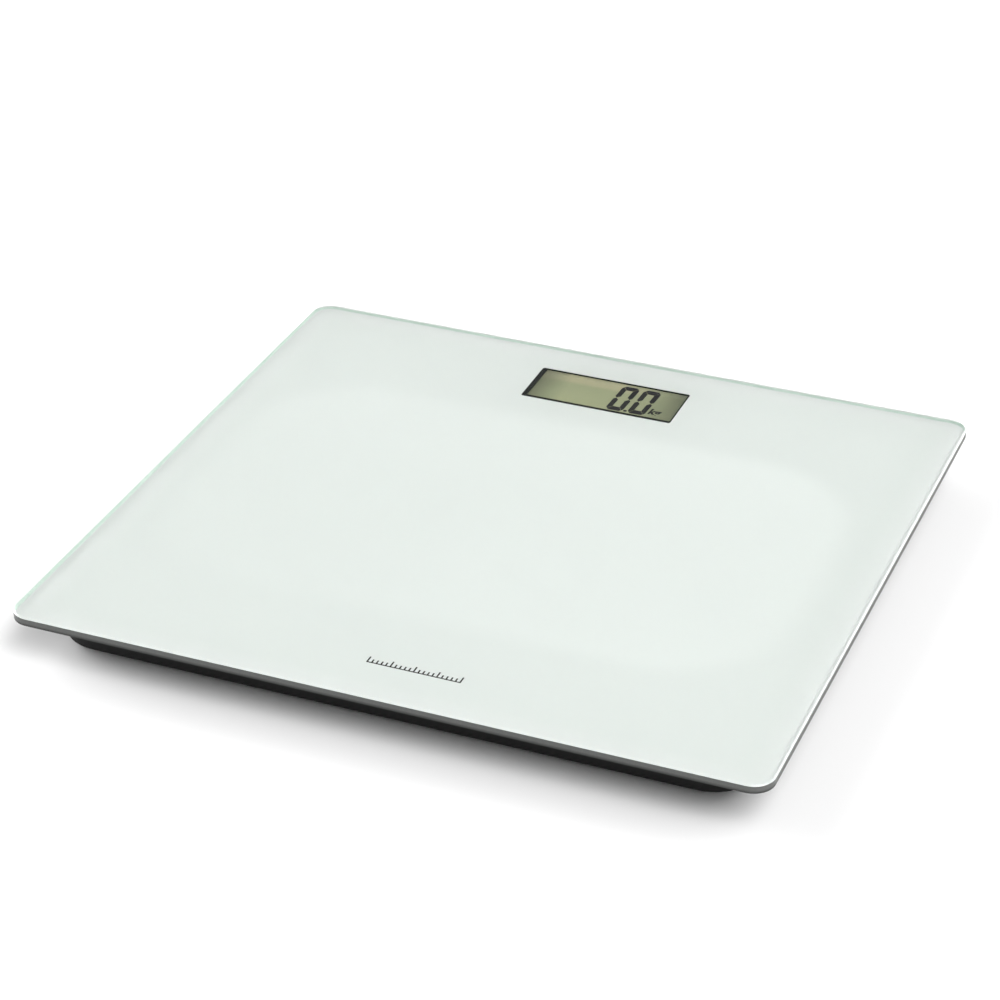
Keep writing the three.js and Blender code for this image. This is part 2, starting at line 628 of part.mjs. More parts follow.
function addDisplay() {
  const lcd = box(
    [WINDOW.x - LCD.width / 2, WINDOW.y - LCD.depth / 2, LCD.bottom],
    [WINDOW.x + LCD.width / 2, WINDOW.y + LCD.depth / 2, LCD.top],
  );
  addPiece("lcd_panel", lcd, lcdGlass);

  // The rubber connector stands between the board and the front edge of the display.
  const zebraY = WINDOW.y - LCD.depth / 2 + ZEBRA.front;
  const zebraHalf = LCD.width / 2 - ZEBRA.end;
  const zebra = box(
    [WINDOW.x - zebraHalf, zebraY, BOARD.top],
    [WINDOW.x + zebraHalf, zebraY + ZEBRA.width, LCD.bottom],
  );
  addPiece("zebra_strip", zebra, carbonRubber);

  // The bezel: a frame that stands on the board, with a lip over the edge of the display.
  const outer = roundedRect(BEZEL.width, BEZEL.depth, BEZEL.corner, WINDOW.x, WINDOW.y);
  const lipBottom = LCD.top + BEZEL.faceGap;
  const lipTop = lipBottom + BEZEL.lip;
  const frame = solid(slab(outer, BOARD.top, lipTop));
  const room = solid(
    box(
      [
        WINDOW.x - LCD.width / 2 - BEZEL.clearance,
        WINDOW.y - LCD.depth / 2 - BEZEL.clearance,
        BOARD.top - OVERCUT,
      ],
      [
        WINDOW.x + LCD.width / 2 + BEZEL.clearance,
        WINDOW.y + LCD.depth / 2 + BEZEL.clearance,
        lipBottom,
      ],
    ),
  );
  const opening = roundedRect(
    BEZEL_OPENING.width,
    BEZEL_OPENING.depth,
    BEZEL_OPENING.corner,
    WINDOW.x + BEZEL_OPENING.shiftX,
    WINDOW.y + BEZEL_OPENING.shiftY,
  );
  const cut = solid(slab(opening, LCD.top - OVERCUT, lipTop + OVERCUT));
  addPiece("lcd_bezel", geometryOf(frame.subtract(room).subtract(cut)), blackBezel);
}

// ---------------------------------------------------------------- unit button

function addButton() {
  const flangeBottom = TRAY_FLOOR_TOP + BUTTON_FLANGE.gap;
  const flangeTop = flangeBottom + BUTTON_FLANGE.height;
  const faceHeight = TRAY_BOTTOM + BUTTON_FACE.inset;
  const bodyBottom = BOARD_BOTTOM - SWITCH.height;
  const plungerBottom = bodyBottom - PLUNGER.proud;
  const stemTop = plungerBottom - PLUNGER.gap;
  const buttonProfile = [
    [0, faceHeight],
    [BUTTON.radius - BUTTON_FACE.edge, faceHeight],
    [BUTTON.radius, faceHeight + BUTTON_FACE.edge],
    [BUTTON.radius, flangeBottom],
    [BUTTON.flange, flangeBottom],
    [BUTTON.flange, flangeTop],
    [BUTTON_STEM, flangeTop],
    [BUTTON_STEM, stemTop],
    [0, stemTop],
  ];
  addPiece("unit_button", turned(buttonProfile, BUTTON_SEGMENTS, BUTTON.x, BUTTON.y), greyPlastic);

  const plungerTop = plungerBottom + PLUNGER.height;
  const plungerEnds = [plungerBottom, plungerTop];
  const plunger = post(SWITCH.plungerRadius, ...plungerEnds, SCREW_SEGMENTS, BUTTON.x, BUTTON.y);
  addPiece("switch_plunger", plunger, blackPlastic);

  const half = SWITCH.side / 2;
  const body = solid(
    box(
      [BUTTON.x - half, BUTTON.y - half, bodyBottom],
      [BUTTON.x + half, BUTTON.y + half, BOARD_BOTTOM],
    ),
  );
  const boreEnds = [bodyBottom - OVERCUT, plungerTop + BUTTON.travel + PLUNGER.spare];
  const bore = solid(post(SWITCH.boreRadius, ...boreEnds, SCREW_SEGMENTS, BUTTON.x, BUTTON.y));
  addPiece("switch_body", geometryOf(body.subtract(bore)), springSteel);
}

// ---------------------------------------------------------------- battery

function addBattery() {
  const coinProfile = [
    [0, COIN.bottom],
    [COIN.radius - COIN.edge, COIN.bottom],
    [COIN.radius, COIN.bottom + COIN.edge],
    [COIN.radius, COIN_TOP - COIN.shoulderDrop],
    [COIN.radius - COIN.shoulder, COIN_TOP - COIN.shoulderDrop],
    [COIN.radius - COIN.shoulder, COIN_TOP],
    [0, COIN_TOP],
  ];
  addPiece("coin_cell", turned(coinProfile, BAY_SEGMENTS, BAY.x, BAY.y), steel);

  // A strip of contact sheet between two places seen from above, with its underside at a height.
  const strip = (left, front, back, bottom) =>
    box(
      [BAY.x + left, BAY.y + front, bottom],
      [BAY.x + left + CONTACT.width, BAY.y + back, bottom + CONTACT.sheet],
    );
  const tail = BAY.radius + BAY.wall + CONTACT.tail;

  // The negative contact lies over the cell, with a step to the side where its tail begins.
  const negativeBottom = COIN_TOP + CONTACT.gap;
  const negative = [
    strip(NEGATIVE.left, NEGATIVE.front, NEGATIVE.tailFront + NEGATIVE.overlap, negativeBottom),
    strip(NEGATIVE.tailLeft, NEGATIVE.tailFront, tail, negativeBottom),
  ];
  addPiece("contact_negative", geometryOf(negative.map(solid).reduce((a, b) => a.add(b))), springSteel);

  // The positive contact is bent up where it touches the shoulder of the can.
  const positiveBottom = COIN_TOP - POSITIVE.drop;
  const upright = box(
    [BAY.x + POSITIVE.left, BAY.y + POSITIVE.front, positiveBottom],
    [
      BAY.x + POSITIVE.left + CONTACT.width,
      BAY.y + POSITIVE.front + CONTACT.sheet,
      COIN_TOP + POSITIVE.lip,
    ],
  );
  const positive = [strip(POSITIVE.left, POSITIVE.front, tail, positiveBottom), upright];
  addPiece("contact_positive", geometryOf(positive.map(solid).reduce((a, b) => a.add(b))), springSteel);

  const boardFront = BOARD.y - BOARD.depth / 2;
  const { radius, gap } = BATTERY_LEAD;
  const leads = {
    battery_lead_negative: [-CONTACT_SLOT.x, negativeBottom, blackWire],
    battery_lead_positive: [CONTACT_SLOT.x, positiveBottom, redWire],
  };
  for (const [name, [offset, contactBottom, color]] of Object.entries(leads)) {
    const height = contactBottom + CONTACT.sheet + radius + gap;
    const landing = BOARD.top + radius + gap;
    const fan = BAY.x + offset * BATTERY_ROUTE.fan;
    const route = [
      [BAY.x + offset, BAY.y + tail - BATTERY_LEAD.solder, height],
      [
        BAY.x + offset * BATTERY_ROUTE.spread,
        BAY.y + tail + BATTERY_LEAD.bend,
        height + BATTERY_ROUTE.rise,
      ],
      [fan, boardFront - BATTERY_LEAD.approach, landing + BATTERY_ROUTE.dip],
      [fan, boardFront + radius, landing],
    ];
    addPiece(name, wire(route, radius), color);
  }
}

// The door fills its opening in the tray floor. Its hinge edge is round about the pins' axis.
function addDoor() {
  const front = DOOR_AXIS_Y;
  const back = BAY.y + DOOR.depth / 2;
  const half = DOOR.width / 2;
  const section = new THREE.Shape();
  const radius = DOOR.thickness / 2;
  section.moveTo(front, -radius);
  section.lineTo(back, -radius);
  section.lineTo(back, radius);
  section.lineTo(front, radius);
  section.absarc(front, 0, radius, Math.PI / 2, 1.5 * Math.PI, false);
  // The section is drawn in the Y-Z plane and runs along X.
  const panel = new THREE.ExtrudeGeometry(section, {
    depth: DOOR.width,
    bevelEnabled: false,
    curveSegments: SMOOTH,
  });
  const upright = new THREE.Matrix4().makeBasis(
    new THREE.Vector3(0, 1, 0),
    new THREE.Vector3(0, 0, 1),
    new THREE.Vector3(1, 0, 0),
  );
  panel.applyMatrix4(upright).translate(BAY.x - half, 0, DOOR_AXIS_Z);
  const pins = new THREE.CylinderGeometry(
    DOOR.pinRadius,
    DOOR.pinRadius,
    DOOR.width + 2 * DOOR.pinLength,
    SCREW_SEGMENTS,
  );
  pins.rotateZ(Math.PI / 2).translate(BAY.x, DOOR_AXIS_Y, DOOR_AXIS_Z);
  // A finger scoop near the free edge.
  const scoop = roundedRect(SCOOP.width, SCOOP.depth, SCOOP.corner, BAY.x, back - SCOOP.fromEdge);
  const door = solid(panel)
    .add(solid(pins))
    .subtract(solid(slab(scoop, TRAY_BOTTOM - OVERCUT, TRAY_BOTTOM + SCOOP.height)));
  addPiece("battery_door", geometryOf(door), blackPlastic);
}

addPlatform();
addTapes();
addTray();
addLabel();
addFeet();
addBoard();
addDisplay();
addButton();
addBattery();
addDoor();

export default scale;
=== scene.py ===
# Looks of the glass-topped digital scale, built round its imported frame. All lengths are in metres.
import json
import math

import bpy
import bmesh
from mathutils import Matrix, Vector


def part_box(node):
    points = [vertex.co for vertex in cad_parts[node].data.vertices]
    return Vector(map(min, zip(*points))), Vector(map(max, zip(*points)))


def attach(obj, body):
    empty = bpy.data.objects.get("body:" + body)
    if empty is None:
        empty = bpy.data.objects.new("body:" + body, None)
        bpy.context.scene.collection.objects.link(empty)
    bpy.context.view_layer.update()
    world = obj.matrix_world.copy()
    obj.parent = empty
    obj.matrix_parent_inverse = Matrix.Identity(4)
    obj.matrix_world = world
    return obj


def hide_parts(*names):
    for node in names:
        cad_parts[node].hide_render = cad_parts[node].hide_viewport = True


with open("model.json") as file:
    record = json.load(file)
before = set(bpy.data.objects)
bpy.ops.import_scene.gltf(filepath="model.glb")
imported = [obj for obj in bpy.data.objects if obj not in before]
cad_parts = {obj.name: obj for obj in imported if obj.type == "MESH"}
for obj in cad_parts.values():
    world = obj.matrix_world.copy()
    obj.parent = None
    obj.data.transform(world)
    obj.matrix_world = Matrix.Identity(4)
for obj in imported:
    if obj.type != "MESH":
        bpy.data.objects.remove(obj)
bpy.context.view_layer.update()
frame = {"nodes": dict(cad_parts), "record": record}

MM = 0.001
NODES = frame["nodes"]
CORNERS = ("front_left", "front_right", "back_left", "back_right")

# ------------------------------------------------------------------ places taken from the frame

GLASS_LOW, GLASS_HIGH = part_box("glass_platform")
FILM_LOW, FILM_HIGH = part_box("backing_film")
LCD_LOW, LCD_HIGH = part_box("lcd_panel")

GLASS_TOP = GLASS_HIGH.z
LCD_CENTRE = (LCD_LOW + LCD_HIGH) / 2


# ------------------------------------------------------------------ camera

CAMERA_AZIMUTH = math.radians(21.95)
CAMERA_ELEVATION = math.radians(30.41)
CAMERA_DISTANCE = 1.1841
CAMERA_LENS = 106.5
SENSOR_WIDTH = 36
CAMERA_REACH = 20
CAMERA_AIM = Vector((-0.0090, 0.0073, GLASS_TOP))


def make_camera():
    data = bpy.data.cameras.new("camera")
    data.lens = CAMERA_LENS
    data.sensor_width = SENSOR_WIDTH
    data.clip_end = CAMERA_REACH
    camera = bpy.data.objects.new("camera", data)
    bpy.context.scene.collection.objects.link(camera)
    back = Vector(
        (
            math.sin(CAMERA_AZIMUTH) * math.cos(CAMERA_ELEVATION),
            -math.cos(CAMERA_AZIMUTH) * math.cos(CAMERA_ELEVATION),
            math.sin(CAMERA_ELEVATION),
        )
    )
    camera.location = CAMERA_AIM + CAMERA_DISTANCE * back
    camera.rotation_mode = "QUATERNION"
    camera.rotation_quaternion = (-back).to_track_quat("-Z", "Y")
    bpy.context.scene.camera = camera


# ------------------------------------------------------------------ node helpers


class NodeTree:
    """Calls shared by materials and the world."""

    def join(self, value, socket):
        """Links a socket to a socket, or sets a plain value on it."""
        if hasattr(value, "links"):
            self.links.new(value, socket)
        else:
            socket.default_value = value

    def math(self, operation, *values):
        node = self.nodes.new("ShaderNodeMath")
        node.operation = operation
        for socket, value in zip(node.inputs, values):
            self.join(value, socket)
        return node.outputs[0]


class Recipe(NodeTree):
    """A node material with one Principled shader, and short calls for the usual nodes."""

    def __init__(self, name, color, roughness, metallic=0.0):
        self.material = bpy.data.materials.new(name)
        self.material.use_nodes = True
        self.nodes = self.material.node_tree.nodes
        self.links = self.material.node_tree.links
        self.shader = self.nodes["Principled BSDF"]
        self.set(Roughness=roughness, Metallic=metallic)
        self.shader.inputs["Base Color"].default_value = (*color, 1)
        self.place = self.nodes.new("ShaderNodeTexCoord").outputs["Object"]

    def set(self, **values):
        for name, value in values.items():
            self.shader.inputs[name.replace("_", " ")].default_value = value

    def noise(self, scale, detail=3.0, stretch=(1, 1, 1)):
        mapping = self.nodes.new("ShaderNodeMapping")
        mapping.inputs["Scale"].default_value = stretch
        self.links.new(self.place, mapping.inputs["Vector"])
        node = self.nodes.new("ShaderNodeTexNoise")
        node.inputs["Scale"].default_value = scale
        node.inputs["Detail"].default_value = detail
        self.links.new(mapping.outputs[0], node.inputs["Vector"])
        return node.outputs["Fac"]

    def axis(self, letter):
        node = self.nodes.new("ShaderNodeSeparateXYZ")
        self.links.new(self.place, node.inputs[0])
        return node.outputs[letter]

    def voronoi(self, scale):
        node = self.nodes.new("ShaderNodeTexVoronoi")
        node.inputs["Scale"].default_value = scale
        self.links.new(self.place, node.inputs["Vector"])
        return node.outputs["Distance"]

    def spread(self, value, low, high, start=0.3, end=0.7):
        node = self.nodes.new("ShaderNodeMapRange")
        node.inputs["From Min"].default_value = start
        node.inputs["From Max"].default_value = end
        node.inputs["To Min"].default_value = low
        node.inputs["To Max"].default_value = high
        self.links.new(value, node.inputs["Value"])
        return node.outputs["Result"]

    def between(self, factor, first, second):
        node = self.nodes.new("ShaderNodeMix")
        node.data_type = "RGBA"
        self.links.new(factor, node.inputs["Factor"])
        for socket, color in ((node.inputs["A"], first), (node.inputs["B"], second)):
            self.join(color if hasattr(color, "links") else (*color, 1), socket)
        return node.outputs["Result"]

    def inside(self):
        """1 where a face is seen from inside its solid, and 0 from outside."""
        return self.nodes.new("ShaderNodeNewGeometry").outputs["Backfacing"]

    def color(self, socket):
        self.links.new(socket, self.shader.inputs["Base Color"])

    def mottle(self, pattern, first, second, **limits):
        """Colours the surface between two tones by a pattern."""
        self.color(self.between(self.spread(pattern, 0, 1, **limits), first, second))

    def roughness(self, socket):
        self.links.new(socket, self.shader.inputs["Roughness"])

    def bump(self, height, distance, strength=1.0):
        node = self.nodes.new("ShaderNodeBump")
        node.inputs["Distance"].default_value = distance
        node.inputs["Strength"].default_value = strength
        self.links.new(height, node.inputs["Height"])
        self.links.new(node.outputs["Normal"], self.shader.inputs["Normal"])


# ------------------------------------------------------------------ materials

GLASS_INDEX = 1.52
GLASS_TINT = (0.62, 0.90, 0.76, 1)
GLASS_TINT_DENSITY = 6.0
# Painted shade: the near black low on the ground edge, which is also the lower bevel's colour from
# outside.
EDGE_PAINTED_SHADE = (0.018, 0.018, 0.018)
EDGE_DARK = (0.118, 0.122, 0.118)
EDGE_PALE = (0.142, 0.147, 0.142)
EDGE_MIRROR = (0.97, 1.0, 0.98)
# The painted shade on the ground edge fades out between these two heights.
EDGE_SHADE_FROM = GLASS_LOW.z + 0.3 * MM
EDGE_SHADE_TO = GLASS_LOW.z + 1.9 * MM
BACK_COAT = (0.085, 0.087, 0.088)
PRINT_LIT = (0.975, 0.985, 0.976)
EDGE_GLOW = 12 * MM
# The display's tones: the far tone and the end tone are painted shade, and the tan tone is a painted
# reflection.
LCD_NEAR = (0.57, 0.60, 0.36)
LCD_FAR_SHADED = (0.51, 0.54, 0.325)
LCD_PAINTED_SHEEN = (0.66, 0.63, 0.40)
LCD_END_SHADE = (0.17, 0.185, 0.125)


def clear_glass():
    """Float glass: plain refraction, and a faint green that only shows along a long path."""
    recipe = Recipe("clear_glass", (1, 1, 1), 0.0)
    recipe.set(Transmission_Weight=1.0, IOR=GLASS_INDEX)
    absorb = recipe.nodes.new("ShaderNodeVolumeAbsorption")
    absorb.inputs["Color"].default_value = GLASS_TINT
    absorb.inputs["Density"].default_value = GLASS_TINT_DENSITY
    output = recipe.nodes["Material Output"]
    recipe.links.new(absorb.outputs[0], output.inputs["Volume"])
    return recipe.material


def ground_glass_edge():
    """Matt grey from outside, with painted shade low down that darkens it to near black at its foot.

    From inside the sheet it mirrors, as a glass edge does."""
    recipe = Recipe("ground_glass_edge", (0.12, 0.122, 0.12), 0.45)
    recipe.set(Specular_IOR_Level=0.2)
    inside = recipe.inside()
    grain = recipe.noise(scale=2200, detail=2)
    matt = recipe.between(recipe.spread(grain, 0, 1), EDGE_DARK, EDGE_PALE)
    # Painted shade: the edge darkens to near black towards its foot.
    height = recipe.spread(recipe.axis("Z"), 0, 1, start=EDGE_SHADE_FROM, end=EDGE_SHADE_TO)
    outside = recipe.between(height, EDGE_PAINTED_SHADE, matt)
    recipe.color(recipe.between(inside, outside, EDGE_MIRROR))
    recipe.links.new(inside, recipe.shader.inputs["Metallic"])
    recipe.roughness(recipe.spread(inside, 0.45, 0.05, start=0, end=1))
    recipe.bump(grain, distance=0.02 * MM, strength=0.4)
    return recipe.material


def lower_arris():
    """The lower bevel: near black from outside, which is painted shade, and a pale green line seen through
    the sheet.
    """
    recipe = Recipe("lower_arris", EDGE_PAINTED_SHADE, 0.5)
    recipe.set(Specular_IOR_Level=0.1)
    inside = recipe.inside()
    streaks = recipe.spread(recipe.noise(scale=700, detail=2), 0, 1)
    green = recipe.between(streaks, (0.74, 0.88, 0.80), (0.84, 0.95, 0.88))
    # From outside the bevel takes the painted shade, and from inside the pale green.
    recipe.color(recipe.between(inside, EDGE_PAINTED_SHADE, green))
    recipe.roughness(recipe.spread(streaks, 0.45, 0.6, start=0, end=1))
    return recipe.material


def white_print():
    """The white layer seen through the glass, sealed underneath with a dark coat.

    Light that enters by the ground edge makes the print a little brighter close to it."""
    recipe = Recipe("white_print", (0.92, 0.945, 0.92), 0.5)
    cloud = recipe.spread(recipe.noise(scale=9, detail=2), 0, 1)
    white = recipe.between(cloud, (0.919, 0.946, 0.924), (0.926, 0.952, 0.931))
    from_side = recipe.math("SUBTRACT", FILM_HIGH.x, recipe.math("ABSOLUTE", recipe.axis("X")))
    from_end = recipe.math("SUBTRACT", FILM_HIGH.y, recipe.math("ABSOLUTE", recipe.axis("Y")))
    nearest = recipe.math("MINIMUM", from_side, from_end)
    near_edge = recipe.spread(nearest, 1, 0, start=0, end=EDGE_GLOW)
    lit = recipe.between(near_edge, white, PRINT_LIT)
    middle = (FILM_LOW.z + FILM_HIGH.z) / 2
    face = recipe.math("GREATER_THAN", recipe.axis("Z"), middle)
    recipe.color(recipe.between(face, BACK_COAT, lit))
    recipe.roughness(recipe.spread(recipe.noise(scale=400, detail=2), 0.45, 0.6))
    return recipe.material


def moulded_plastic(name, color, roughness=0.5, grain_scale=2600):
    """Spark-textured moulding: a fine grain, slow changes of gloss, and a little handling wear."""
    recipe = Recipe(name, color, roughness)
    recipe.set(Specular_IOR_Level=0.2)
    grain = recipe.noise(scale=grain_scale, detail=2)
    slow = recipe.noise(scale=22, detail=4)
    recipe.mottle(slow, color, tuple(part * 1.25 for part in color))
    recipe.roughness(recipe.spread(slow, roughness - 0.08, roughness + 0.08))
    recipe.bump(grain, distance=0.04 * MM, strength=0.5)
    return recipe.material


def rubber_sole():
    """Dull rubber with floor dust in patches."""
    recipe = Recipe("rubber_sole", (0.045, 0.046, 0.048), 0.75)
    dust = recipe.noise(scale=60, detail=5)
    recipe.mottle(dust, (0.040, 0.041, 0.043), (0.085, 0.083, 0.08), start=0.45, end=0.75)
    recipe.roughness(recipe.spread(dust, 0.68, 0.9))
    recipe.bump(recipe.noise(scale=3000, detail=2), distance=0.03 * MM, strength=0.6)
    return recipe.material


def lcd_face():
    """The olive panel, with painted shade darkening it towards both ends and towards its far side, and a
    painted tan reflection along its far side that fades out towards the right.
    """
    recipe = Recipe("lcd_face", (0.36, 0.38, 0.24), 0.3)
    recipe.set(Specular_IOR_Level=0.2)
    half_width = (LCD_HIGH.x - LCD_LOW.x) / 2
    half_depth = (LCD_HIGH.y - LCD_LOW.y) / 2
    across = recipe.math("DIVIDE", recipe.math("SUBTRACT", recipe.axis("X"), LCD_CENTRE.x), half_width)
    up = recipe.math("DIVIDE", recipe.math("SUBTRACT", recipe.axis("Y"), LCD_CENTRE.y), half_depth)
    # Painted shade towards both ends.
    ends = recipe.spread(recipe.math("ABSOLUTE", across), 0, 1, start=0.52, end=1.0)
    # Painted reflection: a tan band along the far side, fading out towards the right.
    far_side = recipe.spread(up, 0, 1, start=0.36, end=0.56)
    left_part = recipe.spread(across, 1, 0, start=0.1, end=0.75)
    painted_sheen = recipe.math("MULTIPLY", far_side, left_part)
    # Painted shade: darker towards the far side.
    body = recipe.between(recipe.spread(up, 0, 1, start=-0.8, end=0.5), LCD_NEAR, LCD_FAR_SHADED)
    toned = recipe.between(painted_sheen, body, LCD_PAINTED_SHEEN)
    # The painted shade at the ends is made a little uneven.
    uneven = recipe.spread(recipe.noise(scale=60, detail=2), 0.85, 1.0)
    cloud = recipe.math("MULTIPLY", ends, uneven)
    recipe.color(recipe.between(cloud, toned, LCD_END_SHADE))
    recipe.bump(recipe.noise(scale=4000, detail=1), distance=0.005 * MM, strength=0.3)
    return recipe.material


def ink(name, dark, light):
    """A printed or switched dark layer, with the faint mottle of real ink."""
    recipe = Recipe(name, dark, 0.4)
    recipe.set(Specular_IOR_Level=0.2)
    recipe.mottle(recipe.noise(scale=900, detail=1), dark, light)
    return recipe.material


def metal(name, color, roughness, brush=(1, 40, 1)):
    """Bare metal with brush lines along X. An even brush of (1, 1, 1) gives a plain pressed face."""
    recipe = Recipe(name, color, roughness, 1.0)
    lines = recipe.noise(scale=260, detail=4, stretch=brush)
    recipe.roughness(recipe.spread(lines, roughness - 0.08, roughness + 0.12))
    recipe.bump(lines, distance=0.02 * MM, strength=0.3)
    return recipe.material


def soft_foam():
    """Open-celled foam."""
    recipe = Recipe("soft_foam", (0.70, 0.70, 0.67), 0.95)
    cells = recipe.voronoi(scale=2500)
    recipe.mottle(cells, (0.58, 0.58, 0.55), (0.74, 0.74, 0.71), start=0.1, end=0.8)
    recipe.bump(cells, distance=0.1 * MM, strength=0.6)
    return recipe.material


def wire_cover(name, color):
    """Soft insulation or silicone, a little uneven in gloss and tone."""
    recipe = Recipe(name, color, 0.4)
    recipe.roughness(recipe.spread(recipe.noise(scale=500, detail=3), 0.32, 0.5))
    paler = tuple(min(1, part * 1.15) for part in color)
    recipe.mottle(recipe.noise(scale=120, detail=2), color, paler)
    return recipe.material


def board_mask():
    """Green solder mask over a glass weave."""
    recipe = Recipe("board_mask", (0.015, 0.10, 0.045), 0.3)
    warp = recipe.noise(scale=1800, detail=1, stretch=(1, 0.1, 1))
    weft = recipe.noise(scale=1800, detail=1, stretch=(0.1, 1, 1))
    weave = recipe.math("MULTIPLY", warp, weft)
    recipe.mottle(weave, (0.012, 0.085, 0.038), (0.02, 0.13, 0.06), start=0.15, end=0.35)
    recipe.bump(weave, distance=0.03 * MM, strength=0.4)
    return recipe.material


def label_paper():
    """Silvery label stock, blank."""
    recipe = Recipe("label_paper", (0.55, 0.56, 0.57), 0.35, 0.4)
    recipe.roughness(recipe.spread(recipe.noise(scale=300, detail=3), 0.28, 0.45))
    recipe.mottle(recipe.noise(scale=40, detail=3), (0.53, 0.54, 0.55), (0.58, 0.59, 0.60))
    return recipe.material


# ------------------------------------------------------------------ mesh helpers


def rounded_outline(width, depth, radius, steps):
    """Anticlockwise (x, y) points of a rectangle with round corners, centred on the origin."""
    points = []
    for quarter in range(4):
        sign_x = 1 if quarter in (0, 3) else -1
        sign_y = 1 if quarter in (0, 1) else -1
        for step in range(steps + 1):
            angle = math.pi / 2 * (quarter + step / steps)
            x = sign_x * (width / 2 - radius) + radius * math.cos(angle)
            y = sign_y * (depth / 2 - radius) + radius * math.sin(angle)
            points.append((x, y))
    return points


def mesh_from(bm, name):
    mesh = bpy.data.meshes.new(name)
    bm.normal_update()
    bm.to_mesh(mesh)
    bm.free()
    return mesh


def new_object(name, bm, body, materials):
    """Makes a piece from a bmesh. It rides on its body and takes its finish from its slot."""
    piece = bpy.data.objects.new(name, mesh_from(bm, name))
    bpy.context.scene.collection.objects.link(piece)
    for material in materials:
        piece.data.materials.append(material)
    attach(piece, body)
    return piece


def loft_rings(bm, rings):
    """Skins a stack of rings of equal length, given from bottom to top, and closes the two ends."""
    rows = [[bm.verts.new(point) for point in ring] for ring in rings]
    count = len(rows[0])
    for lower, upper in zip(rows, rows[1:]):
        for i in range(count):
            j = (i + 1) % count
            bm.faces.new((lower[i], lower[j], upper[j], upper[i]))
    bm.faces.new(reversed(rows[0]))
    bm.faces.new(rows[-1])


def smooth_by_angle(piece, degrees):
    """Smooth shading, with edges sharper than the angle left crisp."""
    bm = bmesh.new()
    bm.from_mesh(piece.data)
    limit = math.radians(degrees)
    for face in bm.faces:
        face.smooth = True
    for edge in bm.edges:
        edge.smooth = len(edge.link_faces) == 2 and edge.calc_face_angle(0) < limit
    bm.to_mesh(piece.data)
    bm.free()


# ------------------------------------------------------------------ platform

PLATE_CORNER = 8.5 * MM
PLATE_CHAMFER = 0.55 * MM
FOOT_CHAMFER = 0.95 * MM
SEAM_WIDTH = 0.45 * MM
SEAM_DROP = 0.08 * MM
INK_THICKNESS = 0.02 * MM
CORNER_STEPS = 24
# In degrees. It keeps the seam's shallow slope crisp, while the steps round a corner are blended.
SHEET_CREASE = 5


def make_glass(glass, edge, arris):
    """The sheet: clear on top, with matt ground sides and a lower arris beyond the print's rim.

    A fine ground seam runs along the top of the straight front edge. The underside lies an ink's
    thickness below the face of the film, so that the print touches the glass."""
    width = GLASS_HIGH.x - GLASS_LOW.x
    depth = GLASS_HIGH.y - GLASS_LOW.y
    bottom = GLASS_LOW.z - INK_THICKNESS
    profile = [
        (FOOT_CHAMFER, bottom),
        (0.0, bottom + PLATE_CHAMFER),
        (0.0, GLASS_TOP - PLATE_CHAMFER),
        (PLATE_CHAMFER - SEAM_DROP, GLASS_TOP - SEAM_DROP),
        (PLATE_CHAMFER - SEAM_DROP + SEAM_WIDTH, GLASS_TOP),
    ]
    arris_band, side_band, seam_band = 0, 1, 3
    bm = bmesh.new()
    rings = []
    for inset, height in profile:
        outline = rounded_outline(width - 2 * inset, depth - 2 * inset, PLATE_CORNER - inset, CORNER_STEPS)
        rings.append([(x, y, height) for x, y in outline])
    loft_rings(bm, rings)
    points_per_ring = len(rings[0])
    for number, face in enumerate(bm.faces):
        band = number // points_per_ring
        in_front = face.calc_center_median().y < GLASS_LOW.y + 1.5 * SEAM_WIDTH
        if band == side_band or (band == seam_band and in_front):
            face.material_index = 1
        elif band == arris_band:
            face.material_index = 2
    piece = new_object("glass_sheet", bm, "scale_body", [glass, edge, arris])
    smooth_by_angle(piece, SHEET_CREASE)
    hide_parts("glass_platform")


# ------------------------------------------------------------------ flat printed shapes


def add_prism(bm, outline, low, high):
    """A flat shape from an anticlockwise (x, y) outline, between two heights."""
    lower = [bm.verts.new((x, y, low)) for x, y in outline]
    upper = [bm.verts.new((x, y, high)) for x, y in outline]
    count = len(outline)
    bm.faces.new(reversed(lower))
    bm.faces.new(upper)
    for i in range(count):
        j = (i + 1) % count
        bm.faces.new((lower[i], lower[j], upper[j], upper[i]))


MARK_LEFT = -11.6 * MM
MARK_FRONT = -116.9 * MM
MARK_LINE = 0.6 * MM
MARK_PITCH = 1.85 * MM
MARK_COUNT = 20
MARK_TALL_EVERY = 5
MARK_TALL = 3.5 * MM
MARK_SHORT = 2.1 * MM


def make_mark(material):
    """A plain row of graduation lines, printed near the front edge."""
    bm = bmesh.new()
    low, high = FILM_HIGH.z, FILM_HIGH.z + INK_THICKNESS
    half = MARK_LINE / 2
    right = MARK_LEFT + MARK_COUNT * MARK_PITCH

    def add_bar(x0, y0, x1, y1):
        add_prism(bm, [(x0, y0), (x1, y0), (x1, y1), (x0, y1)], low, high)

    add_bar(MARK_LEFT - half, MARK_FRONT - half, right + half, MARK_FRONT + half)
    for number in range(MARK_COUNT + 1):
        x = MARK_LEFT + number * MARK_PITCH
        reach = MARK_SHORT if number % MARK_TALL_EVERY else MARK_TALL
        add_bar(x - half, MARK_FRONT + half, x + half, MARK_FRONT + reach)
    new_object("graduation_mark", bm, "scale_body", [material])


# ------------------------------------------------------------------ display

DIGIT_LEFTS = (1.85 * MM, 11.6 * MM)
DIGIT_FRONT = 99.0 * MM
DIGIT_WIDTH = 7.7 * MM
DIGIT_HEIGHT = 21.8 * MM
DIGIT_STROKE = 2.3 * MM
DIGIT_CROSS_STROKE = 3.3 * MM
DIGIT_GAP = 0.09 * MM
DIGIT_LEAN = 0.045
POINT_CENTRE = (10.62 * MM, 100.15 * MM)
POINT_RADIUS = 0.8 * MM
POINT_STEPS = 24
